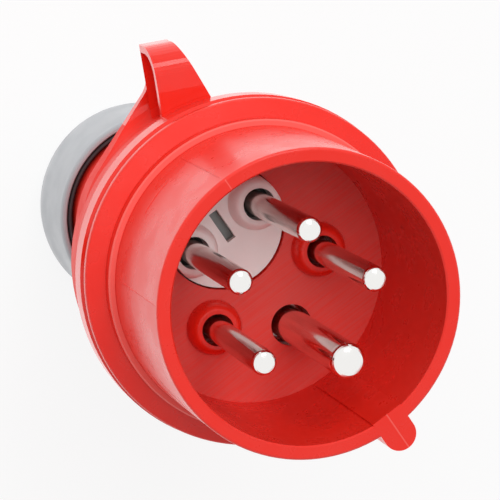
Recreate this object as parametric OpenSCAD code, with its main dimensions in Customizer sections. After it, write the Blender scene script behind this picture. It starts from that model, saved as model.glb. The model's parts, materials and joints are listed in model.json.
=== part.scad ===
// Five-pin industrial plug with a phase inverter.
// It stands on the rear face of its gland nut: +Z runs to the pins, +Y is 12 o'clock.

/* [Overall] */
// Length from the gland nut's rear face to the shroud's rim
plug_l = 149; // [146:0.5:156]

/* [Shroud] */
// Outer diameter of the shroud at its rim
shroud_d = 60; // [58.5:0.5:61]
// Wall of the shroud
shroud_wall = 2.8; // [2.4:0.1:3.2]
// Depth from the rim to the contact base
shroud_depth = 39.5; // [37:0.5:42]
// Width of the key rib at 6 o'clock
key_w = 6.6; // [5.5:0.1:8]
// Height of the key rib over the shroud
key_h = 4.9; // [3.8:0.1:5.4]

/* [Flange] */
// Diameter of the step at the shroud's foot
step_d = 63.4; // [62.5:0.1:65]
// Diameter of the flange
flange_d = 71.2; // [70:0.1:72]
// Diameter of the spigot that the rear housing slides over
spigot_d = 64.4; // [63.6:0.1:64.8]

/* [Contacts] */
// Radius of the circle that the pins stand on
pitch_r = 14; // [13.7:0.1:14.3]
// Diameter of the line and neutral pins
phase_d = 5; // [4.6:0.1:5.4]
// Diameter of the earth pin
earth_d = 7; // [6.4:0.1:7.4]
// How far the line pins' tips lie behind the rim
tip_back = 1.4; // [0.6:0.1:4]
// How much further forward the earth pin reaches
earth_lead = 1.2; // [0.4:0.1:2]
// Diameter of the phase contacts' wire barrels
barrel_d = 8; // [7.4:0.1:8.2]
// Diameter of the earth contact's wire barrel
earth_barrel_d = 9.4; // [8.8:0.1:10]
// Diameter of a boss at its foot
boss_d = 11.3; // [10.6:0.1:11.6]
// Height of a boss
boss_h = 3.5; // [2.4:0.1:4.4]

/* [Phase inverter] */
// Diameter of the rotor's disc
disc_d = 25.2; // [24.8:0.1:25.6]
// How far the disc lies below the contact base
disc_recess = 1; // [0.4:0.1:1.8]
// Length of the screwdriver slot
slot_l = 7; // [5:0.1:8]
// Width of the screwdriver slot
slot_w = 2; // [1.6:0.1:2.4]
// How far the rotor is pushed in before it turns
push_travel = 2.5; // [1.5:0.1:3]
// Wire of the rotor's spring
spring_wire = 1; // [0.8:0.05:1.1]

/* [Rear housing] */
// How far the front ring stands out over the flange
ring_over = 0.3; // [0:0.1:1]
// How far the collar draws in behind the ring
collar_in = 2.5; // [2:0.1:3]
// Diameter of the neck
neck_d = 40.6; // [40:0.1:41]
// Wall of the housing
rear_wall = 2.4; // [2:0.1:2.7]
// Radius from the axis to the fin's tip
fin_r = 47.5; // [46:0.1:50]
// Turn of the fin clockwise from 12 o'clock, seen from the pins
fin_turn = 14; // [0:1:20]

/* [Cable gland] */
// Wall of the gland nut's skirt
nut_wall = 2; // [1.6:0.1:3]
// Length of the gland nut
nut_l = 31; // [29:0.5:34]
// Diameter of the nut's cable opening
entry_d = 18.4; // [16:0.1:19]
// Bore of the rubber bush
cable_d = 13; // [9:0.1:14]

/* [Hidden] */
$fn = 96;

// Colours
red = [0.86, 0.13, 0.11];
grey = [0.74, 0.75, 0.76];
rotor_grey = [0.84, 0.81, 0.80];
nickel = [0.82, 0.80, 0.77];
steel = [0.66, 0.67, 0.69];
black = [0.06, 0.06, 0.06];

// Gaps: loose for what slides or turns, snug for what is seated
loose = 0.3;
snug = 0.05;
eps = 0.01;

// Radii of the front housing
shroud_r = shroud_d/2;
shroud_ri = shroud_r - shroud_wall;
shroud_draft = 0.4;
step_r = step_d/2;
flange_r = flange_d/2;
groove_r = flange_r - 0.8;
spigot_r = spigot_d/2;
spigot_wall = 2.8;
spigot_ri = spigot_r - spigot_wall;
base_t = 5;
seat_r = shroud_ri + 1.4;
snap_h = 1.6;
snap_half_angle = 8;
rim_round = 0.6;
rim_chamfer = 0.3;

// Heights of the front housing, from the rim down
z_rim = plug_l;
z_base = z_rim - shroud_depth;
z_under = z_base - base_t;
z_step = z_base + 6.6;
z_face = z_base + 3.6;
z_groove = z_base + 1.4;
z_part = z_base + 0.5;
z_spigot = z_part - 13;

// Contacts: 1 and 2 ride on the rotor, E stands at 6 o'clock
pin_step = 360/5;
function around(r, a) = [r*sin(a), r*cos(a)];
pos_1 = around(pitch_r, pin_step/2);
pos_2 = around(pitch_r, -pin_step/2);
pos_3 = around(pitch_r, -3*pin_step/2);
pos_n = around(pitch_r, 3*pin_step/2);
pos_e = around(pitch_r, 180);
phase_r = phase_d/2;
earth_r = earth_d/2;
mouth_gap = 0.8;
root_over = 0.3;
root_h = 2;
root_back = 4;
barrel_r = barrel_d/2;
earth_barrel_r = earth_barrel_d/2;
barrel_tail = 7;
collar_over = 1;
collar_t = 3;
boss_r = boss_d/2;

// Heights where a contact's barrel ends and where its root does
z_root = z_under - root_back;
z_pin = z_root + root_h;

// Rotor, about the midpoint of contacts 1 and 2
rotor_y = pos_1[1];
disc_r = disc_d/2;
spring_r = disc_r + 0.7;
cavity_r = spring_r + spring_wire/2 + 0.6;
rotor_flange_t = 3;
z_disc = z_base - disc_recess;
z_rotor_flange = z_under - rotor_flange_t;
hub_r = spring_r - spring_wire/2 - 0.5;
washer_t = 0.7;
z_washer = z_rotor_flange - 0.1 - washer_t;
stop_h = 1.5;
stop_half_angle = 5;
stop_w = 0.8;
stop_ri = disc_r + loose + 0.2;
slot_deep = 3;

// Contact block and the plate behind it
block_l = 18.5;
z_block = z_under - block_l;
plate_t = 3;
z_plate = z_block - plate_t;
z_barrel = z_plate - barrel_tail;
block_r = max(rotor_y + cavity_r + 1.5, 27.2);
window_r = spring_r - spring_wire/2 - 0.2;
z_hub = z_block + 6;

// Screws
term_screw_r = 2;
term_head_r = 2.6;
term_head_h = 2;
z_term = z_barrel + barrel_tail/2;
plate_screw_r = 1.5;
plate_screw_l = 12;
plate_screws = [[15.5, -14.5], [-15.5, -14.5], [21.6, 3.6], [-21.6, 3.6]];

// Rear housing
ring_r = flange_r + ring_over;
collar_r = ring_r - collar_in;
neck_r = neck_d/2;
z_ring = z_part - 0.4;
z_collar = z_base - 5.5;
z_rim_front = z_base - 18.8;
z_rim_back = z_base - 21;
z_neck = nut_l + 8;
shoulder_r = block_r + loose + rear_wall + 0.3;
z_shoulder = z_rim_back - 3;
bore_r = spigot_r + loose;
z_bore = z_spigot - 0.5;
lug_h = 0.8;
lug_t = 2.5;
z_lug = z_spigot + 1.5;
lug_angle = 24;

// Fin, in its own frame: its centre line is +Y
web_t = 2.6;
stem_w = 3.2;
stem_left = 2.5;
stem_rise = 2.4;
strap_t = 1.5;
strap_foot_w = 5.6;
strap_tip_w = 2.7;
tip_lean = 11.5;
lock_from_fin = 14;
lock_w = 6.4;
lock_h = 3;
lock_deep = 1.6;
tongue_w = 1.7;

// Gland
entry_r = entry_d/2;
cable_r = cable_d/2;
skirt_l = 9.5;
thread_gap = loose;
gland_spigot_r = neck_r - 1;
z_gland = 9;
z_skirt = nut_l - skirt_l;
skirt_r = neck_r + 1.8;
nut_r = skirt_r + nut_wall;
dome_h = 11;
dome_in = 7;
gland_bore_r = gland_spigot_r - 2.5;
cage_r = gland_bore_r - loose;
cage_wall = 2.2;
entry_l = 3;
finger_r = entry_r + 3.3;
z_cage = 24;
bush_r = finger_r - 1.6;
bush_lip = 4;
slot_depth = 5;
seal_back = 1;
seal_t = 2.5;

// Points of an arc, from angle a0 to a1 in n steps
function arc(x, y, rx, ry, a0, a1, n=10) =
    [for (i = [0:n]) let (a = a0 + (a1 - a0)*i/n) [x + rx*cos(a), y + ry*sin(a)]];

// A flat ring sector between two angles
module sector(ri, ro, a0, a1, h) {
    linear_extrude(h)
        polygon(concat(arc(0, 0, ro, ro, a0, a1, 24), arc(0, 0, ri, ri, a1, a0, 24)));
}

// A tube between two heights
module tube(ri, ro, z0, z1) {
    translate([0, 0, z0]) difference() {
        cylinder(r=ro, h=z1 - z0);
        translate([0, 0, -1]) cylinder(r=ri, h=z1 - z0 + 2);
    }
}

module rod(r, z0, z1) {
    translate([0, 0, z0]) cylinder(r=r, h=z1 - z0);
}

// Raised boss with a rounded shoulder, standing on z = 0
module boss() {
    top_r = phase_r + mouth_gap + 0.7;
    rotate_extrude()
        polygon(concat([[0, -1], [boss_r, -1]], arc(top_r, 0, boss_r - top_r, boss_h, 0, 90, 8), [[0, boss_h]]));
}

// Hole for one contact: wide mouth at the front, then the pin's root, then its barrel
module contact_hole(pin_r, tail_r, z_mouth, z_tail) {
    rod(pin_r + mouth_gap, z_pin - 0.5, z_mouth + 1);
    rod(pin_r + root_over + snug, z_root - 1, z_pin);
    rod(tail_r + snug, z_tail, z_root);
}

// One contact: domed pin, its root, a wire barrel and, where the plate holds it, a collar
module contact(pin_r, tail_r, z_tip, collar) {
    dome_h = pin_r*0.62;
    difference() {
        union() {
            rotate_extrude()
                polygon(concat(
                    [[0, z_barrel], [tail_r - 0.4, z_barrel], [tail_r, z_barrel + 0.4]],
                    [[tail_r, z_root - snug], [pin_r + root_over, z_root - snug]],
                    [[pin_r + root_over, z_pin], [pin_r, z_pin]],
                    arc(0, z_tip - dome_h, pin_r, dome_h, 0, 90, 9)));
            if (collar) rod(tail_r + collar_over, z_block, z_block + collar_t - snug);
        }
        rod(tail_r*0.52, z_barrel - 1, z_barrel + 12);
        translate([0, 0, z_term]) rotate([0, 90, 0]) cylinder(r=term_screw_r + snug, h=tail_r + 2);
    }
}

// Terminal screw across a barrel, its head outwards along +X
module terminal_screw(tail_r) {
    color(steel) translate([0, 0, z_term]) rotate([0, 90, 0]) difference() {
        union() {
            translate([0, 0, 0.9]) cylinder(r=term_screw_r, h=tail_r);
            translate([0, 0, tail_r + 0.1]) cylinder(r=term_head_r, h=term_head_h);
        }
        translate([-term_head_r - 1, -0.4, tail_r + term_head_h - 0.9]) cube([2*term_head_r + 2, 0.8, 2]);
    }
}

// Places a child at a contact, its +X turned away from the plug's axis or to 12 o'clock
module at_contact(p, turn) {
    translate([p[0], p[1], 0]) rotate([0, 0, turn]) children();
}
function outward(p) = atan2(p[1], p[0]);

// Shroud, flange and spigot in one moulding; the contact base seats in it from behind
module front_housing() {
    color(red) {
        difference() {
            union() {
                rotate_extrude()
                    polygon(concat(
                        [[seat_r, z_base], [shroud_ri, z_base], [shroud_ri, z_rim - rim_chamfer]],
                        [[shroud_ri + rim_chamfer, z_rim]],
                        arc(shroud_r - rim_round, z_rim - rim_round, rim_round, rim_round, 90, 0, 5),
                        [[shroud_r + shroud_draft, z_step], [step_r - 0.3, z_step], [step_r, z_step - 0.3]],
                        [[step_r, z_face], [flange_r - 0.6, z_face - 0.7]],
                        arc(flange_r - 0.6, z_face - 1.3, 0.6, 0.6, 90, 0, 4),
                        [[flange_r, z_groove], [groove_r, z_groove], [groove_r, z_part], [spigot_r, z_part]],
                        [[spigot_r, z_spigot + 0.5], [spigot_r - 0.5, z_spigot]],
                        [[spigot_ri, z_spigot], [spigot_ri, z_under], [seat_r, z_under]]));
                key_rib();
                for (i = [0:2]) rotate([0, 0, 120*i + 30]) translate([0, 0, z_lug])
                    sector(spigot_r - 1, spigot_r + lug_h, -lug_angle/2, lug_angle/2, lug_t);
                // ledges that the base snaps past
                for (i = [0:2]) rotate([0, 0, 120*i + 90]) translate([0, 0, z_under - snap_h])
                    sector(block_r + loose, spigot_ri + 0.5, -snap_half_angle, snap_half_angle, snap_h);
            }
            tube(spigot_r - 1.3, spigot_r + 1, z_part - 6.3, z_part - 3.7);
        }
    }
}

// Base that carries the contacts, with the block behind it and the rotor's seat
module contact_base() {
    color(red) difference() {
        union() {
            rotate_extrude()
                polygon([[0, z_base], [seat_r - snug, z_base], [seat_r - snug, z_under], [block_r, z_under],
                    [block_r, z_block], [0, z_block]]);
            for (p = [pos_3, pos_n]) translate([p[0], p[1], z_base]) boss();
        }
        // rotor: its seat, the cavity behind it and the groove of its end stop
        translate([0, rotor_y, 0]) {
            rod(disc_r + loose, z_under - 1, z_base + 1);
            rod(cavity_r, z_block - 1, z_under);
            translate([0, 0, z_under - eps])
                sector(stop_ri - 0.2, stop_ri + stop_w + 0.2, -stop_half_angle - 1, 180 + stop_half_angle + 1, stop_h + 0.2);
        }
        for (p = [pos_3, pos_n]) translate([p[0], p[1], 0]) {
            contact_hole(phase_r, barrel_r, z_base + boss_h, z_block - 1);
            rod(barrel_r + collar_over + snug, z_block - 1, z_block + collar_t);
        }
        translate([pos_e[0], pos_e[1], 0]) {
            contact_hole(earth_r, earth_barrel_r, z_base, z_block - 1);
            rod(earth_barrel_r + collar_over + snug, z_block - 1, z_block + collar_t);
        }
        for (p = plate_screws) translate([p[0], p[1], 0])
            rod(plate_screw_r + snug, z_block - 1, z_block + plate_screw_l - plate_t + 0.5);
    }
}

// Rounded key along the outside of the shroud
module key_rib() {
    key_r = key_w/2;
    translate([0, 0, z_face - 1]) linear_extrude(z_rim - z_face + 1) {
        translate([-key_r, -shroud_r - key_h + key_r]) square([key_w, key_h]);
        translate([0, -shroud_r - key_h + key_r]) circle(r=key_r);
    }
}

module housing_seal() {
    color(black) rotate_extrude()
        translate([spigot_r - 0.55, z_part - 5]) circle(r=0.7, $fn=24);
}

module rear_housing() {
    color(red) difference() {
        union() {
            rotate_extrude()
                polygon(concat(
                    [[0, z_ring], [ring_r - 0.7, z_ring], [ring_r, z_ring - 0.7], [ring_r, z_collar + 0.3]],
                    [[ring_r - 0.4, z_collar], [collar_r + 0.2, z_rim_front], [collar_r, z_rim_back]],
                    arc(collar_r - 0.6, z_shoulder, collar_r - 0.6 - shoulder_r, z_rim_back - z_shoulder, 90, 180, 5),
                    body_curve(0),
                    [[neck_r, z_skirt + 0.5], [gland_spigot_r, z_skirt + 0.5]],
                    [[gland_spigot_r, z_gland + 0.6], [gland_spigot_r - 0.6, z_gland], [0, z_gland]]));
            fin();
        }
        rotate_extrude()
            polygon(concat(
                [[0, z_ring + 1], [bore_r, z_ring + 1], [bore_r, z_bore], [block_r + loose + 0.3, z_bore - 2]],
                [[shoulder_r - rear_wall, z_shoulder]],
                body_curve(rear_wall),
                [[gland_bore_r - 2.4, z_neck - 6], [gland_bore_r - 2.4, z_cage + 3.2], [gland_bore_r - 2.4, z_cage + 1]],
                [[gland_bore_r, z_cage + 1], [gland_bore_r, z_gland - 1], [0, z_gland - 1]]));
        // bayonet: entry slots and the groove that the lugs turn in
        translate([0, 0, z_lug - loose])
            rotate_extrude() translate([bore_r - 1, 0]) square([lug_h + 1 + 0.1, lug_t + 2*loose]);
        for (i = [0:2]) rotate([0, 0, 120*i + 75]) translate([0, 0, z_lug])
            sector(bore_r - 1, bore_r + lug_h + 0.3, -lug_angle/2 - 2, lug_angle/2 + 2, z_ring - z_lug + 1);
        lock_window();
    }
}

// Half profile of the tapering body, inset by a wall
function body_curve(inset) =
    [for (i = [0:12]) let (t = i/12, s = (1 - cos(180*t))/2)
        [shoulder_r + (neck_r - shoulder_r)*(0.55*t + 0.45*s) - inset, z_shoulder + (z_neck - z_shoulder)*t]];

// Window beside the fin's foot, where a screwdriver frees the bayonet's tongue
module lock_window() {
    rotate([0, 0, lock_from_fin - fin_turn]) translate([0, ring_r - lock_deep, z_collar - lock_h]) difference() {
        translate([-lock_w/2, 0, 0]) cube([lock_w, 2*lock_deep, lock_h]);
        translate([-tongue_w, -1, -1]) cube([tongue_w, 2*lock_deep + 2, lock_h + 2]);
    }
}

// Fin: a teardrop rear plate, a web and a strap that hooks back over its top
module fin() {
    fillet = 4.5;
    space = 2*fin_r;
    rotate([0, 0, -fin_turn]) {
        // rear plate, with a fillet between it and the collar
        intersection() {
            translate([0, 0, z_rim_back]) linear_extrude(z_rim_front - z_rim_back + fillet) fin_teardrop();
            rotate_extrude() polygon(concat(
                [[collar_r*0.8, z_rim_back], [fin_r + 4, z_rim_back], [fin_r + 4, z_rim_front]],
                arc(collar_r + 0.4 + fillet, z_rim_front + fillet, fillet, fillet, 270, 180, 6),
                [[collar_r*0.8, z_rim_front + fillet]]));
        }
        intersection() {
            across_fin(space) fin_side();
            union() {
                translate([-web_t/2, 0, 0]) cube([web_t, space, z_rim]);
                translate([-stem_left, 0, 0]) cube([stem_left + stem_w, space, z_rim_front + stem_rise]);
                difference() {
                    translate([0, 0, z_rim_front + stem_rise - eps]) linear_extrude(z_rim) fin_front();
                    across_fin(2*space) fin_pocket();
                }
            }
        }
    }
}

// Carries a side profile across the fin; the tip's edge leans forward on the left
module across_fin(w) {
    rotate([0, 0, -tip_lean]) rotate([90, 0, 90]) linear_extrude(w, center=true) children();
}

// Outline of the rear plate: a stem as wide as the strap's tip, which on the left
// curves out into a long flank that meets the collar, and on the right a small fillet
module fin_teardrop() {
    flank = 35.5;
    over = 1;
    bend = 6.5;
    swell_r = 22.9;
    blend = 5;
    way = 90 + flank;
    flank_r = collar_r + over;
    corner_y = (flank_r - stem_left*sin(flank))/cos(flank);
    back = bend*tan((90 - flank)/2);
    top = corner_y + back;
    swell = flank_r - swell_r;
    difference() {
        polygon(concat(
            arc(-stem_left - bend, top, bend, bend, 0, flank - 90, 8),
            arc(swell*cos(way), swell*sin(way), swell_r, swell_r, way, way + 36, 8),
            [[0, collar_r*0.7], [stem_w + blend, collar_r - 1.2], [stem_w, top], [-stem_left, top]]));
        translate([stem_w + blend, collar_r + blend - 1]) circle(r=blend);
    }
}

// Outline of the fin from the front: wide at its foot, narrow at the tip
module fin_front() {
    y0 = collar_r*0.8;
    polygon([[-strap_foot_w, y0], [strap_foot_w, y0], [strap_foot_w, collar_r + 1], [strap_tip_w, fin_r + 2],
        [-strap_tip_w, fin_r + 2], [-strap_foot_w, collar_r + 1]]);
}

// Side profile of the fin as radius and height; its nose hooks back over a scoop
module fin_side() {
    polygon(concat(
        [[collar_r*0.85, z_collar - 1.2], [fin_r - 9, z_collar - 0.6]],
        fin_bend(0),
        [[fin_r, z_rim_front + 1.2], [fin_r - 0.3, z_rim_front + 0.9], [fin_r - 1.2, z_rim_front + 0.3]],
        arc(fin_r - 4, z_rim_back + 0.4, 3, 2.4, 30, 150, 8),
        [[fin_r - 7.4, z_rim_back], [collar_r*0.85, z_rim_back]]));
}

// The strap's bend towards the tip, inset by a thickness
function fin_bend(inset) =
    arc(fin_r - 5.6, z_collar - 7.6, 5.6 - inset, 7 - inset, 90, 0, 10);

// The hollow between strap, rear plate and web, as radius and height
module fin_pocket() {
    polygon(concat(
        [[collar_r*0.8, z_collar - 1.8 - strap_t], [fin_r - 9, z_collar - 0.7 - strap_t]],
        fin_bend(strap_t),
        [[fin_r - strap_t, z_rim_front + stem_rise], [collar_r*0.8, z_rim_front + stem_rise]]));
}

// Rotor with its two bosses, cut to the disc's own circle
module inverter_disc() {
    color(rotor_grey) translate([0, rotor_y, 0]) difference() {
        union() {
            rod(disc_r, z_rotor_flange, z_disc);
            rod(cavity_r - loose, z_rotor_flange, z_under - 0.1);
            rod(hub_r, z_hub, z_rotor_flange + 1);
            intersection() {
                union() for (x = [pos_1[0], pos_2[0]]) translate([x, 0, z_disc]) boss();
                rod(disc_r, z_under, z_base + boss_h + 1);
            }
            translate([0, 0, z_rotor_flange])
                sector(stop_ri, stop_ri + stop_w, -stop_half_angle, stop_half_angle, z_under + stop_h - z_rotor_flange - 0.1);
        }
        for (x = [pos_1[0], pos_2[0]]) translate([x, 0, 0])
            contact_hole(phase_r, barrel_r, z_disc + boss_h, z_hub - 1);
        translate([-slot_w/2, -slot_l/2, z_disc - slot_deep]) cube([slot_w, slot_l, slot_deep + 1]);
    }
}

// Points and faces of a wire wound on the rotor's hub, its end turns closed up
module inverter_spring() {
    turns = 4.5;
    steps = 26;
    sides = 8;
    n = floor(turns*steps);
    z0 = z_block + spring_wire/2 + snug;
    z1 = z_washer - spring_wire/2 - snug;
    end_turn = 0.75/turns;
    function rise(t) = t < end_turn ? 0.055*t/end_turn
        : t > 1 - end_turn ? 1 - 0.055*(1 - t)/end_turn
        : 0.055 + 0.89*(t - end_turn)/(1 - 2*end_turn);
    function ring(t) = [for (k = [0:sides - 1]) let (a = 360*turns*t, b = 360*k/sides,
        r = spring_r + spring_wire/2*cos(b))
        [r*cos(a), r*sin(a), z0 + (z1 - z0)*rise(t) + spring_wire/2*sin(b)]];
    points = [for (i = [0:n]) each ring(i/n)];
    walls = [for (i = [0:n - 1], k = [0:sides - 1]) let (m = (k + 1) % sides)
        [i*sides + k, i*sides + m, (i + 1)*sides + m, (i + 1)*sides + k]];
    ends = [[for (k = [sides - 1:-1:0]) k], [for (k = [0:sides - 1]) n*sides + k]];
    color(steel) translate([0, rotor_y, 0]) polyhedron(points, concat(walls, ends));
}

module thrust_washer() {
    color(steel) translate([0, rotor_y, 0]) tube(hub_r + loose, cavity_r - loose, z_washer, z_washer + washer_t);
}

module line_pin(p, collar) {
    color(nickel) at_contact(p, collar ? outward(p) : 90) contact(phase_r, barrel_r, z_rim - tip_back, collar);
}

module earth_pin() {
    color(nickel) at_contact(pos_e, outward(pos_e))
        contact(earth_r, earth_barrel_r, z_rim - tip_back + earth_lead, true);
}

// Plate that holds the contacts' collars and seats the rotor's spring
module contact_retainer() {
    color(grey) difference() {
        rod(block_r - 0.2, z_plate, z_block);
        translate([0, rotor_y, 0]) rod(window_r, z_plate - 1, z_block + 1);
        for (p = [pos_3, pos_n]) translate([p[0], p[1], 0]) rod(barrel_r + snug, z_plate - 1, z_block + 1);
        translate([pos_e[0], pos_e[1], 0]) rod(earth_barrel_r + snug, z_plate - 1, z_block + 1);
        for (p = plate_screws) translate([p[0], p[1], 0]) rod(plate_screw_r + snug, z_plate - 1, z_block + 1);
    }
}

module retainer_screws() {
    head_r = 2.7;
    head_h = 1.8;
    color(steel) for (p = plate_screws) translate([p[0], p[1], 0]) difference() {
        union() {
            rod(plate_screw_r, z_plate - 0.5, z_plate + plate_screw_l);
            rod(head_r, z_plate - head_h, z_plate);
        }
        for (a = [0, 90]) rotate([0, 0, a])
            translate([-1.6, -0.35, z_plate - head_h - 1]) cube([3.2, 0.7, 2]);
    }
}

// Domed nut with a skirt that reaches over the neck
module gland_nut() {
    flat_r = nut_r - dome_in;
    color(grey) rotate_extrude()
        polygon(concat(
            [[entry_r, 0], [flat_r, 0]],
            arc(flat_r, dome_h, dome_in, dome_h, -90, 0, 10),
            [[nut_r - 0.5, nut_l - 2]],
            arc(nut_r - 1.2, nut_l - 1.2, 0.7, 1.2, 0, 90, 4),
            [[skirt_r + 0.3, nut_l], [skirt_r, nut_l - 0.5], [skirt_r, z_skirt]],
            [[gland_spigot_r + thread_gap, z_skirt], [gland_spigot_r + thread_gap, z_gland - 0.4]],
            [[cage_r + loose, z_gland - 0.6], [finger_r + loose, entry_l]],
            [[entry_r, entry_l]]));
}

// Collet whose fingers the nut's cone closes on the bush
module clamp_cage() {
    slots = 8;
    color(grey) difference() {
        rotate_extrude()
            polygon([[bush_r + snug, entry_l + loose], [finger_r, entry_l + loose], [cage_r, z_gland - 0.6],
                [cage_r, z_cage], [cage_r - cage_wall, z_cage], [cage_r - cage_wall, z_cage - bush_lip],
                [bush_r + snug, z_cage - bush_lip]]);
        for (i = [0:slots - 1]) rotate([0, 0, 360/slots*i])
            translate([bush_r - 1, -0.7, 0]) cube([cage_r, 1.4, z_gland + slot_depth]);
    }
}

module gland_seal() {
    color(black) rotate_extrude()
        polygon([[cable_r, entry_l + loose + 0.4], [bush_r, entry_l + loose + 0.4], [bush_r, z_cage - bush_lip + snug],
            [cage_r - cage_wall - snug, z_cage - bush_lip + snug], [cage_r - cage_wall - snug, z_cage], [cable_r, z_cage]]);
}

module neck_seal() {
    color(black) tube(neck_r + snug, skirt_r - loose, z_skirt + seal_back, z_skirt + seal_back + seal_t);
}

front_housing();
contact_base();
rear_housing();
housing_seal();
inverter_disc();
inverter_spring();
thrust_washer();
line_pin(pos_1, false);  // line_pin_1
line_pin(pos_2, false);  // line_pin_2
line_pin(pos_3, true);  // line_pin_3
line_pin(pos_n, true);  // neutral_pin
earth_pin();
at_contact(pos_1, 90) terminal_screw(barrel_r);  // terminal_screw_1
at_contact(pos_2, 90) terminal_screw(barrel_r);  // terminal_screw_2
at_contact(pos_3, outward(pos_3)) terminal_screw(barrel_r);  // terminal_screw_3
at_contact(pos_n, outward(pos_n)) terminal_screw(barrel_r);  // terminal_screw_n
at_contact(pos_e, outward(pos_e)) terminal_screw(earth_barrel_r);  // terminal_screw_e
contact_retainer();
retainer_screws();
gland_nut();
clamp_cage();
gland_seal();
neck_seal();
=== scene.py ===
# %% [markdown]
# # A five-pin plug with a phase inverter
# The plug is a red moulded shroud round five nickel-plated pins, with a grey rotor
# under two of them, a red rear housing with a hooked fin, and a grey gland nut.
# The exact solids come in as a fixed frame. What is added here is the finish of each
# surface, the small raised lines that a mould leaves, a rubber lip in the nut's mouth
# and a smooth coil for the rotor's spring. Every length is in metres.

# %% Start
import json
import math

import bpy
import numpy as np
from mathutils import Matrix, Vector
from mathutils.bvhtree import BVHTree


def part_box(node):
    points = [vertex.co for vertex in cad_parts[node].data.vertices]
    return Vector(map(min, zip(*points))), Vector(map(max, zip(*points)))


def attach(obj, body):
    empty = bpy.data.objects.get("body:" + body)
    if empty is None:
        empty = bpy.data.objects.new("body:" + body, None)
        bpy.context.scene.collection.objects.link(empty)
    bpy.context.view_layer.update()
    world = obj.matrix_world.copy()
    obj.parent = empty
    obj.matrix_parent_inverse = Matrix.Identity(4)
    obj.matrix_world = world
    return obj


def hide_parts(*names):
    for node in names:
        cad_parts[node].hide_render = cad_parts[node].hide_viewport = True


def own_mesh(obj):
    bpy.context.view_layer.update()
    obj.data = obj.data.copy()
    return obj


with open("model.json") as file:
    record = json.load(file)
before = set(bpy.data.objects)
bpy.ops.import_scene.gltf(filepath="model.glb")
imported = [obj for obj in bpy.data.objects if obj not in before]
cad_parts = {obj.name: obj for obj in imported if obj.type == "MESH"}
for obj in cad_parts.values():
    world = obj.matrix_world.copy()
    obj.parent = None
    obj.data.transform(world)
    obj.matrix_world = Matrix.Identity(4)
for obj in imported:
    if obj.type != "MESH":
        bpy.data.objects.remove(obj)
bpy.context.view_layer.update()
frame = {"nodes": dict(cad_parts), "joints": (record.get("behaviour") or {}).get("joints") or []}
nodes = frame["nodes"]
print("parts in the frame:", len(nodes))

# %% [markdown]
# ## Places read from the frame
# A part's box gives the heights of its ends, and its mesh gives the height of its
# largest flat face. A ray sent inwards finds the surface under a mould line. All
# that is added is placed from these, so it follows the solids.

# %% Places
MM = 0.001
CLEAR_OF_KEY = math.radians(120)  # here the front housing's side carries no rib
CLEAR_OF_FIN = math.radians(200)  # and here the rear housing's side carries no fin
SEARCH_STEP = 0.05 * MM
STEP_LEDGE = 1.2 * MM  # the step stands out further than this over the shroud's side
RING_LEDGE = 0.3 * MM  # and the ring round the flange further than this over the collar
LEVEL = 0.999  # a face is level where this much of its normal is along Z
spring_lo, spring_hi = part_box("inverter_spring")
rear_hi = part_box("rear_housing")[1]
Z_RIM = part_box("front_housing")[1].z


def flat_top(node):
    """Height and outer radius, about the Z axis, of a part's largest upward flat face."""
    mesh = nodes[node].data
    count = len(mesh.polygons)
    normals, areas, centres = np.empty(count * 3), np.empty(count), np.empty(count * 3)
    mesh.polygons.foreach_get("normal", normals)
    mesh.polygons.foreach_get("area", areas)
    mesh.polygons.foreach_get("center", centres)
    up = normals.reshape(-1, 3)[:, 2] > LEVEL
    levels = np.round(centres.reshape(-1, 3)[:, 2] / SEARCH_STEP).astype(int)
    found, where = np.unique(levels[up], return_inverse=True)
    largest = found[np.argmax(np.bincount(where, weights=areas[up]))]
    faces = np.flatnonzero(up & (levels == largest))
    corners = np.array([mesh.vertices[v].co[:] for i in faces for v in mesh.polygons[i].vertices])
    return float(corners[:, 2].mean()), float(np.hypot(corners[:, 0], corners[:, 1]).max())


def skin(node):
    """A tree that finds where a ray meets a part."""
    mesh = nodes[node].data
    points = [v.co[:] for v in mesh.vertices]
    return BVHTree.FromPolygons(points, [tuple(f.vertices) for f in mesh.polygons])


def on_side(tree, angle, z):
    """Point and outward normal of a part's outer side, at an angle about Z and a height."""
    out = Vector((math.cos(angle), math.sin(angle), 0))
    hit, normal, _, _ = tree.ray_cast(2 * rear_hi.x * out + Vector((0, 0, z)), -out)
    return hit, normal


def side_radius(tree, angle, z):
    """Radius of a part's outer side, at an angle about Z and a height."""
    return on_side(tree, angle, z)[0].xy.length


def first_height(tree, angle, heights, test):
    """The first of some heights where the outer side's radius passes a test."""
    return next(float(z) for z in heights if test(side_radius(tree, angle, z)))


front_skin = skin("front_housing")
rear_skin = skin("rear_housing")
Z_BASE, R_BASE = flat_top("contact_base")
Z_ROTOR, _ = flat_top("inverter_disc")
R_RIM = side_radius(front_skin, CLEAR_OF_KEY, Z_RIM - MM)
going_up = np.arange(Z_BASE, Z_RIM, SEARCH_STEP)
going_down = np.arange(rear_hi.z - 2 * MM, 0, -SEARCH_STEP)
Z_STEP = first_height(front_skin, CLEAR_OF_KEY, going_up, lambda r: r < R_RIM + STEP_LEDGE)
R_SHROUD = side_radius(front_skin, CLEAR_OF_KEY, Z_STEP + 0.3 * MM)
Z_COLLAR = first_height(rear_skin, CLEAR_OF_FIN, going_down, lambda r: r < rear_hi.x - RING_LEDGE)
print("heights in mm:", [round(z / MM, 2) for z in (Z_RIM, Z_STEP, Z_BASE, Z_ROTOR, Z_COLLAR)])

# %% [markdown]
# ## Camera
# The plug stands on its nut and the camera looks down on it, a little from the left
# and from behind 12 o'clock. A long lens keeps the pins nearly parallel. The camera
# has a place, the direction in which it looks and the direction that is up for it,
# which a reader can change one at a time.

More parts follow.
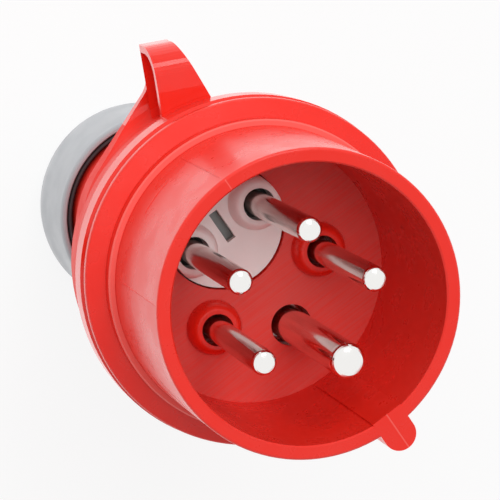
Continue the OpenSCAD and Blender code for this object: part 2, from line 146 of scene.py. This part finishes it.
# %% Camera
SENSOR = 36.0
LENS = 188.9
FARTHEST = 50
CAMERA_AT = Vector((-67.03, 155.67, 613.81)) * MM
CAMERA_LOOKS = Vector((0.1295, -0.2854, -0.9496))
CAMERA_UP = Vector((0.5949, 0.7886, -0.1559))


def aim_camera(place, looks, up):
    """A camera at a place. Its axes are: right = looks x up, then up again square to both."""
    back = -looks.normalized()
    right = looks.cross(up).normalized()
    true_up = back.cross(right)
    data = bpy.data.cameras.new("camera")
    data.sensor_width = SENSOR
    data.lens = LENS
    data.clip_end = FARTHEST
    camera = bpy.data.objects.new("camera", data)
    turn = Matrix((right, true_up, back)).transposed().to_4x4()
    camera.matrix_world = Matrix.Translation(place) @ turn
    bpy.context.scene.collection.objects.link(camera)
    bpy.context.scene.camera = camera
    return camera


camera = aim_camera(CAMERA_AT, CAMERA_LOOKS, CAMERA_UP)
print("camera at", tuple(round(v, 3) for v in camera.location))

# %% [markdown]
# ## Shader maths as plain expressions
# A Math node for each sum soon fills a page. This small class wraps a node's socket,
# so that `mask * 0.4 + 0.1` adds the Math nodes by itself. Any other node comes from
# `Shader.node`, which takes its type, its settings and the values of its sockets.
# `paint` and `roughen` work on top of what a material already has.

# %% Shader maths
class Wire:
    """A number in a shader: a node's output socket with the arithmetic operators."""

    def __init__(self, shader, socket):
        self.shader = shader
        self.socket = socket

    def maths(self, operation, *values):
        made = self.shader.node("ShaderNodeMath", {"operation": operation}, list(values))
        return Wire(self.shader, made.outputs[0])

    def __add__(self, other):
        return self.maths("ADD", self, other)

    def __sub__(self, other):
        return self.maths("SUBTRACT", self, other)

    def __mul__(self, other):
        return self.maths("MULTIPLY", self, other)

    def __pow__(self, other):
        return self.maths("POWER", self, other)

    def __lt__(self, other):
        return self.maths("LESS_THAN", self, other)

    def __gt__(self, other):
        return self.maths("GREATER_THAN", self, other)

    def abs(self):
        return self.maths("ABSOLUTE", self)

    def ramp(self, start, end, low=0.0, high=1.0):
        """Goes smoothly from low to high while this number goes from start to end."""
        made = self.shader.node("ShaderNodeMapRange", {"interpolation_type": "SMOOTHSTEP"}, {
            "Value": self, "From Min": start, "From Max": end, "To Min": low, "To Max": high})
        return Wire(self.shader, made.outputs["Result"])


class Shader:
    """One material's node tree, with its Principled BSDF at hand."""

    def __init__(self, name):
        self.material = bpy.data.materials.new(name)
        self.material.use_nodes = True
        self.tree = self.material.node_tree
        self.surface = self.tree.nodes["Principled BSDF"]
        self.place = self.node("ShaderNodeTexCoord").outputs["Object"]

    def node(self, kind, settings=None, sockets=None):
        """Adds a node, sets its settings first, then values or links on its inputs."""
        made = self.tree.nodes.new(kind)
        for key, value in (settings or {}).items():
            setattr(made, key, value)
        pairs = enumerate(sockets) if isinstance(sockets, list) else (sockets or {}).items()
        for key, value in pairs:
            self.put(made.inputs[key], value)
        return made

    def put(self, socket, value):
        """Gives a socket a link, from a Wire or an output, or a plain value or colour."""
        if isinstance(value, Wire):
            value = value.socket
        if isinstance(value, bpy.types.NodeSocket):
            self.tree.links.new(value, socket)
        elif socket.type == "RGBA":
            socket.default_value = (*value, 1.0)
        else:
            socket.default_value = value

    def set(self, **sockets):
        """Sets the Principled BSDF's sockets; base_color is Base Color."""
        for key, value in sockets.items():
            name = key.replace("_", " ").title().replace("Ior", "IOR")
            self.put(self.surface.inputs[name], value)

    def paint(self, factor, colour):
        """Mixes a colour over what the Base Color is linked to."""
        under = self.surface.inputs["Base Color"].links[0].from_socket
        self.set(base_color=self.mix(factor, under, colour))

    def roughen(self, amount):
        """Adds an amount to what the Roughness is linked to."""
        under = self.surface.inputs["Roughness"].links[0].from_socket
        self.set(roughness=Wire(self, under) + amount)

    def noise(self, scale, detail=3.0, along=(1, 1, 1), turn=0.0):
        """Noise from about 0.3 to 0.7, turned about Z and stretched by a scale along each axis."""
        at = self.node("ShaderNodeMapping", {}, {
            "Vector": self.place, "Rotation": (0, 0, turn), "Scale": along})
        made = self.node("ShaderNodeTexNoise", {}, {
            "Vector": at.outputs[0], "Scale": scale, "Detail": detail})
        return Wire(self, made.outputs[0])

    def axes(self):
        """The three coordinates of the shaded point, in metres."""
        split = self.node("ShaderNodeSeparateXYZ", {}, [self.place])
        return [Wire(self, s) for s in split.outputs]

    def radius(self, x, y):
        """Distance from the Z axis."""
        return (x ** 2 + y ** 2) ** 0.5

    def mix(self, factor, first, second):
        """A colour between two, by a factor."""
        made = self.node("ShaderNodeMix", {"data_type": "RGBA"}, {0: factor, 6: first, 7: second})
        return made.outputs[2]

    def bump(self, height):
        """Raises the surface by a height in millimetres."""
        made = self.node("ShaderNodeBump", {}, {"Height": height, "Distance": MM, "Strength": 1.0})
        self.set(normal=made.outputs[0])


print("shader helpers ready")

# %% [markdown]
# ## Red moulding
# The housings are a satin, glass-filled nylon. A mould leaves its face on them: a very
# fine erosion grain, a slow waviness that bends reflections, and a little variation in
# gloss. Three faces differ. The contact base inside the shroud has fine streaks across
# it, because its half of the mould was ground, and the whole base is painted a paler red
# as a painted reflection. The step at the shroud's foot was left unpolished, and its top
# is painted paler as a painted sheen. The ring round the flange was polished more than
# the collar behind it. The mould's seam is a paler line across the rim and the key. All
# of it is worked out from Object coordinates, so the finish stays on the part at every pose.

# %% Red moulding
RED = (0.80, 0.018, 0.008)
RED_PALE = (0.84, 0.028, 0.016)
# Painted sheen: the next red paints the top of the step paler; it also colours the paler seam.
SEAM_AND_SHEEN_RED = (0.88, 0.13, 0.11)
# Painted reflection: the next red is painted over the whole base, more along its streaks.
STREAK_AND_SHEEN_RED = (0.72, 0.095, 0.082)
RED_RELIEF = (0.0015, 0.012)  # heights of the grain and of the waviness, in millimetres
RED_ROUGHNESS = (0.25, 0.34)
GRAIN_SCALE = 1800
WAVE_SCALE = 70
GLOSS_SCALE = 160
CLOUD_SCALE = 45
STREAK_TURN = math.radians(-15)
STREAK_SCALE = (70, 2400, 1)  # along a streak, across it, and down into the face
STREAK_DEPTH = 0.035
SEAM = 0.12 * MM  # half the seam's width
ON_BASE = 0.05 * MM  # a point this near the base's face is on it
ON_STEP = 0.35 * MM  # and this near the top of the step is on that, with its rounded edge
STRAP_STARTS = 0.2 * MM  # further out than the ring by this is the strap, not the collar


def relief(shader, grain, wave):
    """A height in millimetres, from a mould's fine grain and its slow waviness."""
    return shader.noise(GRAIN_SCALE, 1.0) * grain + shader.noise(WAVE_SCALE, 0.0) * wave


def moulded(shader, heights, roughness):
    """Relief in the bump, and a roughness that drifts between two values."""
    shader.bump(relief(shader, *heights))
    shader.set(roughness=shader.noise(GLOSS_SCALE, 4.0).ramp(0.35, 0.65, *roughness))


def red_moulding(name):
    shader = Shader(name)
    cloud = shader.noise(CLOUD_SCALE, 4.0).ramp(0.3, 0.7)
    shader.set(base_color=shader.mix(cloud * 0.5, RED, RED_PALE), ior=1.5)
    moulded(shader, RED_RELIEF, RED_ROUGHNESS)
    return shader


def ground_base(shader):
    """Streaks from a ground mould face, only on the flat base inside the shroud, over a paler red
    painted across the whole base as a painted reflection.
    """
    x, y, z = shader.axes()
    on_base = ((z - Z_BASE).abs() < ON_BASE) * (shader.radius(x, y) < R_BASE)
    streaks = shader.noise(1.0, along=STREAK_SCALE, turn=STREAK_TURN)
    worn = streaks.ramp(0.35, 0.65)
    shader.bump(relief(shader, *RED_RELIEF) + on_base * streaks * STREAK_DEPTH)
    shader.roughen(on_base * (worn * 0.1 + 0.12))
    # Painted reflection: the base is painted paler all over, and more along the streaks.
    shader.paint(on_base * (worn * 0.4 + 0.5), STREAK_AND_SHEEN_RED)


def paler_step_and_seam(shader):
    """The unpolished top of the step, with a painted sheen in a paler red, and the seam where it
    crosses the rim and the key.
    """
    x, y, z = shader.axes()
    outside = shader.radius(x, y) > R_SHROUD + 0.05 * MM
    on_top = ((z - Z_STEP).abs() < ON_STEP) * outside
    on_seam = (x.abs() < SEAM) * (z > Z_RIM - 0.1 * MM)
    # Painted sheen: the top of the step is painted a paler red.
    shader.paint(on_top * 0.9, SEAM_AND_SHEEN_RED)
    shader.paint(on_seam * 0.7, SEAM_AND_SHEEN_RED)
    shader.roughen(on_top * 0.2)


def glossy_ring(shader):
    """The polished ring, and the duller collar behind it; the strap, further out, stays glossy."""
    x, y, z = shader.axes()
    behind = (z < Z_COLLAR) * (shader.radius(x, y) < rear_hi.x + STRAP_STARTS)
    shader.roughen(behind * 0.45 - 0.12)


front_red = red_moulding("front moulding")
paler_step_and_seam(front_red)
base_red = red_moulding("base moulding")
ground_base(base_red)
rear_red = red_moulding("rear moulding")
glossy_ring(rear_red)
print("red mouldings:", [s.material.name for s in (front_red, base_red, rear_red)])

# %% [markdown]
# ## Grey mouldings
# The nut, the collet and the plate behind the contacts are one grey. The rotor is a
# lighter one, so that it shows where the phases change over, and the foot of its
# screwdriver slot is painted dark as painted shade.

# %% Grey mouldings
NUT_GREY = (0.385, 0.40, 0.42)
ROTOR_GREY = (0.90, 0.92, 0.90)
# Painted shade: the colour painted on the foot of the rotor's slot.
SLOT_SHADE_GREY = (0.30, 0.32, 0.31)
GREY_RELIEF = (0.006, 0.04)
SLOT_DEPTH = 1.5 * MM


def grey_moulding(name, colour, *roughness):
    shader = Shader(name)
    light = tuple(min(1.0, c * 1.1) for c in colour)
    shader.set(base_color=shader.mix(shader.noise(60, 4.0).ramp(0.3, 0.7), colour, light))
    moulded(shader, GREY_RELIEF, roughness)
    return shader


nut_grey = grey_moulding("grey moulding", NUT_GREY, 0.38, 0.5)
rotor_grey = grey_moulding("rotor moulding", ROTOR_GREY, 0.30, 0.42)
# Painted shade: the foot of the slot is painted dark.
rotor_grey.paint(rotor_grey.axes()[2] < Z_ROTOR - SLOT_DEPTH, SLOT_SHADE_GREY)
print("greys:", nut_grey.material.name, rotor_grey.material.name)

# %% [markdown]
# ## Metals and rubber
# The pins are turned brass with bright nickel plate. Turning leaves rings that run
# round each pin, far too fine to see one by one, and use leaves faint marks along it.
# Their domed tips are painted near white, a painted highlight.
# Springs and screws are zinc plated steel. The seals are plain black rubber.

# %% Metals and rubber
NICKEL = (0.80, 0.75, 0.72)
WORN_NICKEL = (0.66, 0.60, 0.57)
# Painted highlight: the near-white colour painted on the domed tips.
DOME_HIGHLIGHT_NICKEL = (0.97, 0.96, 0.94)
Z_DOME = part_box("line_pin_1")[1].z - 1.6 * MM
ZINC = (0.62, 0.63, 0.65)
WARM_ZINC = (0.72, 0.71, 0.66)
RUBBER = (0.030, 0.022, 0.024)
PALE_RUBBER = (0.055, 0.040, 0.043)


def nickel():
    """Painted highlight on the domed tips, which are painted brighter; along the sides, duller and
    browner marks of use, where they rub in a socket.
    """
    shader = Shader("bright nickel")
    marks = shader.noise(60, 4.0, along=(12, 12, 1))
    rings = shader.noise(1.0, 2.0, along=(40, 40, 9000))
    side = shader.mix(marks.ramp(0.35, 0.7), NICKEL, WORN_NICKEL)
    dome_highlight = shader.axes()[2].ramp(Z_DOME - 0.3 * MM, Z_DOME + 0.3 * MM)
    # Painted highlight: the domed tips are painted near white.
    shader.set(metallic=1.0, base_color=shader.mix(dome_highlight, side, DOME_HIGHLIGHT_NICKEL))
    shader.set(roughness=marks.ramp(0.3, 0.7, 0.09, 0.19))
    shader.bump(rings * 0.002 + marks * 0.004)
    return shader


def zinc():
    shader = Shader("zinc plate")
    cloud = shader.noise(400, 4.0)
    shader.set(metallic=1.0, base_color=shader.mix(cloud.ramp(0.3, 0.7), ZINC, WARM_ZINC))
    shader.set(roughness=cloud.ramp(0.3, 0.7, 0.22, 0.38))
    return shader


def rubber():
    shader = Shader("black rubber")
    shader.set(base_color=shader.mix(shader.noise(500), RUBBER, PALE_RUBBER))
    shader.set(roughness=shader.noise(300).ramp(0.3, 0.7, 0.5, 0.65))
    return shader


FINISHES = {
    "front_housing": front_red,
    "contact_base": base_red,
    "rear_housing": rear_red,
    "inverter_disc": rotor_grey,
    "gland_nut": nut_grey,
    "clamp_cage": nut_grey,
    "contact_retainer": nut_grey,
}
bright = nickel()
plated = zinc()
black = rubber()
for name, part in nodes.items():
    if "pin" in name:
        finish = bright
    elif "seal" in name:
        finish = black
    else:
        finish = FINISHES.get(name, plated)
    part.data.materials.clear()
    part.data.materials.append(finish.material)
print("finished parts:", len(nodes))

# %% [markdown]
# ## Mould lines, lip and spring
# Where two halves of a mould meet, a thin raised line is left. Two such lines run up
# the side of the shroud. A short arc marks an ejector, and a short line lies at the
# foot of the side. Each is swept along points found on the shroud's own skin. A rubber
# lip rings the neck under the nut's mouth, and stays there when the nut backs off. The
# spring under the rotor is a smooth coil.

# %% Mould lines, lip and spring
RING_SIDES = 12  # corners round a ridge's section
SUNK = -0.4  # how far a ridge's section reaches under the skin, as a share of its height
FADE_SHARE = 12  # a ridge reaches its full height at a twelfth of its length
TOP = Z_RIM - 0.9 * MM  # below the rounding of the rim


def add_mesh(name, points, faces, finish, body):
    """A smooth-shaded mesh piece that rides on a body."""
    mesh = bpy.data.meshes.new(name)
    mesh.from_pydata([tuple(p) for p in points], [], faces)
    mesh.polygons.foreach_set("use_smooth", np.ones(len(mesh.polygons), bool))
    mesh.materials.append(finish.material)
    mesh.update()
    piece = bpy.data.objects.new(name, mesh)
    bpy.context.scene.collection.objects.link(piece)
    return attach(piece, body)


def full_turn(count, start=0.0, end=2 * math.pi):
    """Angles at even steps, where the last isn't the first again."""
    return np.linspace(start, end, count, endpoint=False)


def ring_faces(rings, sides, wrap=False):
    """Quads between closed rings of points. Flat caps close the ends, unless the rings wrap."""
    faces = [(i * sides + j, i * sides + (j + 1) % sides,
              (i + 1) % rings * sides + (j + 1) % sides, (i + 1) % rings * sides + j)
             for i in range(rings if wrap else rings - 1) for j in range(sides)]
    if not wrap:
        faces += [tuple(reversed(range(sides))), tuple(range((rings - 1) * sides, rings * sides))]
    return faces


def mould_line(name, path, width, height):
    """A low half-round ridge along points on the skin, which fades at both its ends."""
    width, height = width * MM, height * MM
    places = np.array([p[:] for p, _ in path])
    normals = np.array([n[:] for _, n in path])
    ways = np.gradient(places, axis=0)
    sides = np.cross(normals, ways / np.linalg.norm(ways, axis=1)[:, None])
    share = np.linspace(0, 1, len(path))
    fade = np.clip(np.minimum(share, 1 - share) * FADE_SHARE, 0.05, 1)[:, None]
    across = [width / 2 * math.cos(a) for a in full_turn(RING_SIDES)]
    above = [height * max(math.sin(a), SUNK) for a in full_turn(RING_SIDES)]
    rings = [places + fade * (sides * s + normals * n) for s, n in zip(across, above)]
    points = np.stack(rings, axis=1).reshape(-1, 3)
    return add_mesh(name, points, ring_faces(len(path), RING_SIDES), front_red, "housing")


def side_height(share):
    """A height on the shroud's side, as a share of the way from the step to the rim."""
    return Z_STEP + share * (Z_RIM - Z_STEP)


def up_the_side(degrees, low):
    angle = math.radians(degrees)
    return [on_side(front_skin, angle, z) for z in np.linspace(low, TOP, 60)]


def round_the_side(z, first, last):
    return [on_side(front_skin, math.radians(a), z) for a in np.linspace(first, last, 40)]


# Angles are in degrees about Z from +X. The last two numbers are width and height in mm.
mould_line("mould_line_a", up_the_side(90.5, Z_STEP + 0.2 * MM), 0.36, 0.14)
mould_line("mould_line_b", up_the_side(143.5, side_height(0.15)), 0.30, 0.10)
mould_line("ejector_arc", round_the_side(side_height(0.26), 100.8, 116.5), 0.34, 0.14)
mould_line("foot_line", round_the_side(side_height(0.04), 70, 76), 0.28, 0.10)

LIP_OFF_NECK = 0.5 * MM
LIP_INSIDE_SEAL = 0.02 * MM  # its side lies this far inside the neck seal's
LIP_UNDER_MOUTH = 0.5 * MM
LIP_CROWN = 0.35 * MM


def turned_ring(name, profile, finish, body):
    """A closed profile of radii and heights, turned about the Z axis."""
    turn = full_turn(128)
    r, z = np.array(profile).T
    points = np.stack([np.outer(np.cos(turn), r), np.outer(np.sin(turn), r),
                       np.tile(z, (len(turn), 1))], axis=2).reshape(-1, 3)
    return add_mesh(name, points, ring_faces(len(turn), len(r), wrap=True), finish, body)


def neck_lip():
    """A crowned ring that stands on the neck seal, clear of the neck and of the nut."""
    corners = np.array([v.co[:] for v in nodes["neck_seal"].data.vertices])
    reach = np.hypot(corners[:, 0], corners[:, 1])
    inner, outer = reach.min() + LIP_OFF_NECK, reach.max() - LIP_INSIDE_SEAL
    foot, top = corners[:, 2].max(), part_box("gland_nut")[1].z - LIP_UNDER_MOUTH
    crown = [(inner + (outer - inner) * t, top - LIP_CROWN * (2 * t - 1) ** 2)
             for t in np.linspace(0, 1, 9)]
    return turned_ring("neck_lip", [(outer, foot), (inner, foot)] + crown, black, "housing")


neck_lip()

COIL_WIRE = 1.0 * MM
COIL_TURNS = 4.5
STEPS_PER_TURN = 48
CLOSED_TURNS = 0.75  # at each end, where the coil lies almost flat
CLOSED_RISE = 0.055  # and how much of its rise it makes there


def coil(name, low, high, wire, turns):
    """A coil with closed ends inside a box, as rings of points round a helix."""
    middle = (low + high) / 2
    radius = (high.x - low.x) / 2 - wire / 2
    t = np.linspace(0, 1, int(turns * STEPS_PER_TURN))
    end = CLOSED_TURNS / turns
    rise = np.interp(t, [0, end, 1 - end, 1], [0, CLOSED_RISE, 1 - CLOSED_RISE, 1])
    around = (2 * math.pi * turns * t)[:, None]
    z = (low.z + wire / 2 + (high.z - low.z - wire) * rise)[:, None]
    side = full_turn(16, 2 * math.pi, 0)[None, :]  # backwards, so that the faces look out
    reach = radius + wire / 2 * np.cos(side)
    points = np.stack([middle.x + reach * np.cos(around), middle.y + reach * np.sin(around),
                       z + wire / 2 * np.sin(side)], axis=2).reshape(-1, 3)
    piece = add_mesh(name, points, ring_faces(len(t), side.size), plated, "housing")
    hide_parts("inverter_spring")
    return piece


push = next(j for j in frame["joints"] if j["name"] == "rotor_push")
travel = push["range_m"][1]
spring = coil("rotor_coil", spring_lo, spring_hi, COIL_WIRE, COIL_TURNS)
1 - travel / (spring_hi.z - spring_lo.z)
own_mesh(spring)
print("added pieces; the rotor's travel is", round(travel / MM, 2), "mm")

# %% [markdown]
# ## Floor and light
# The plug stands on a pale floor in a white world, which lights it from all round. A
# large soft lamp in front gives the shading, and is hidden from reflections, where it
# would whiten the flange. A small lamp gives the strap its sheen. A dark strip to the
# side, which only reflections see, stands for what is dark beside the plug. The floor
# is plain white to the camera. To reflections and soft light it glows brighter than
# white, so it also lights the plug from below.

# %% Floor and light
WORLD_LIGHT = 0.37
WORLD_REFLECTED = 0.9
RIM = Vector((0, 0, Z_RIM))  # the lamps and the card are placed from the rim's middle
FRONT_LAMP = {"place": RIM + Vector((0.17, 0.44, 0.94)), "size": 0.8, "power": 8.3}
STRAP_LAMP = {"place": RIM + Vector((0.51, 0.55, 0.66)), "size": 0.34, "power": 1.3}
CARD_WAY = (-0.8, 0.6, 0.0)
CARD_DISTANCE = 2.0
CARD_SIZE = (0.45, 1.3)
CARD_COLOUR = (0.02, 0.02, 0.02)
FLOOR_SIDE = 6.0
FLOOR_COLOUR = (0.9, 0.9, 0.9)
FLOOR_GLOW = 1.6
GLOW_SHARE = 0.5  # how much of the floor's look is glow; the rest is its lit colour
MORE_FOR_CAMERA = 0.35
MORE_FOR_GLOSSY = 0.15


def white_world(strength, reflected):
    """White to the camera, nearly so to reflections, and a plain level of light on the part."""
    world = bpy.data.worlds.new("tent")
    bpy.context.scene.world = world
    world.use_nodes = True
    tree = world.node_tree
    background = tree.nodes["Background"]
    background.inputs["Color"].default_value = (1, 1, 1, 1)
    rays = tree.nodes.new("ShaderNodeLightPath")
    level = None
    for kind, brightness in (("Is Glossy Ray", reflected), ("Is Camera Ray", 1.0),
                             ("Is Transmission Ray", 1.0)):
        choice = tree.nodes.new("ShaderNodeMapRange")
        choice.inputs["To Min"].default_value = strength
        choice.inputs["To Max"].default_value = brightness
        if level:
            tree.links.new(level, choice.inputs["To Min"])
        tree.links.new(rays.outputs[kind], choice.inputs["Value"])
        level = choice.outputs["Result"]
    tree.links.new(level, background.inputs["Strength"])


def soft_lamp(name, place, size, power):
    """A square area lamp that faces the middle of the rim."""
    data = bpy.data.lights.new(name, "AREA")
    data.size = size
    data.energy = power
    lamp = bpy.data.objects.new(name, data)
    turn = (RIM - place).to_track_quat("-Z", "Y").to_matrix().to_4x4()
    lamp.matrix_world = Matrix.Translation(place) @ turn
    bpy.context.scene.collection.objects.link(lamp)
    return lamp


def flat_sheet(name, corners, finish):
    mesh = bpy.data.meshes.new(name)
    mesh.from_pydata([tuple(c) for c in corners], [], [(0, 1, 2, 3)])
    mesh.materials.append(finish.material)
    sheet = bpy.data.objects.new(name, mesh)
    bpy.context.scene.collection.objects.link(sheet)
    return sheet


def dark_card():
    """A dark strip far to the side, which only reflections see."""
    out = Vector(CARD_WAY).normalized()
    across = Vector((-out.y, out.x, 0)) * CARD_SIZE[0] / 2
    rise = Vector((0, 0, CARD_SIZE[1] / 2))
    middle = RIM + CARD_DISTANCE * out
    corners = [middle - across - rise, middle + across - rise,
               middle + across + rise, middle - across + rise]
    shader = Shader("dark card")
    shader.set(base_color=CARD_COLOUR, roughness=1.0)
    card = flat_sheet("dark_card", corners, shader)
    card.visible_camera = card.visible_diffuse = card.visible_shadow = False


def pale_floor():
    """A square floor that looks white and still shows some of the part's shadow."""
    half = FLOOR_SIDE / 2
    corners = [(-half, -half, 0), (half, -half, 0), (half, half, 0), (-half, half, 0)]
    shader = Shader("pale floor")
    shader.set(base_color=FLOOR_COLOUR, roughness=0.8)
    rays = shader.node("ShaderNodeLightPath").outputs
    camera_ray = Wire(shader, rays["Is Camera Ray"])
    glossy_ray = Wire(shader, rays["Is Glossy Ray"])
    share = camera_ray * MORE_FOR_CAMERA + glossy_ray * MORE_FOR_GLOSSY + GLOW_SHARE
    glow, white = (shader.node("ShaderNodeEmission", {}, {"Strength": strength}).outputs[0]
                   for strength in (FLOOR_GLOW, 1.0))
    emitted = shader.node("ShaderNodeMixShader", {}, [camera_ray, glow, white]).outputs[0]
    plain = shader.surface.outputs[0]
    both = shader.node("ShaderNodeMixShader", {}, [share, plain, emitted]).outputs[0]
    shader.put(shader.tree.nodes["Material Output"].inputs["Surface"], both)
    flat_sheet("floor", corners, shader)


white_world(WORLD_LIGHT, WORLD_REFLECTED)
soft_lamp("front lamp", **FRONT_LAMP).visible_glossy = False
soft_lamp("strap lamp", **STRAP_LAMP)
dark_card()
pale_floor()
print("world at", WORLD_LIGHT)

# %% [markdown]
# ## Finish
# The Standard view leaves colours as they are.

# %% Finish
bpy.context.scene.view_settings.view_transform = "Standard"
